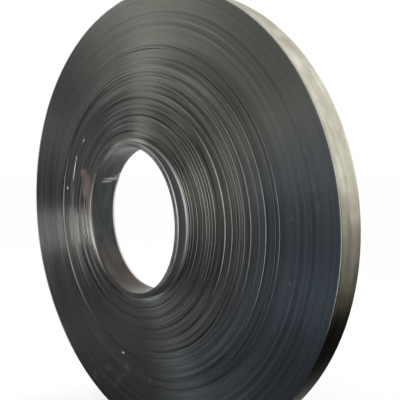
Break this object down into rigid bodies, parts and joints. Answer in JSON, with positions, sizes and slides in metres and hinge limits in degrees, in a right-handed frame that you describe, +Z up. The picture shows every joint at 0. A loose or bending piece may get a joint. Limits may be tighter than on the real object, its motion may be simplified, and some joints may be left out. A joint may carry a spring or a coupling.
{
  "type": "slit steel coil",
  "caption": "Narrow coil of slit steel strip with a round eye; its turns slide out towards the eye as a low stepped cone.",
  "frame": {"origin": "on the floor, under the middle of the coil's overall depth", "axes": "+Z up; the coil's axis runs along Y, and the end whose turns stand out as a cone faces -Y"},
  "size_m": [1.576, 0.178, 1.576],
  "materials": {
    "steel_coil": "mill finish strip with dark slit edges, a pale satin outer turn and light rust beside the eye"
  },
  "bodies": {
    "root": {"steel_coil": "steel_coil"}
  },
  "joints": []
}
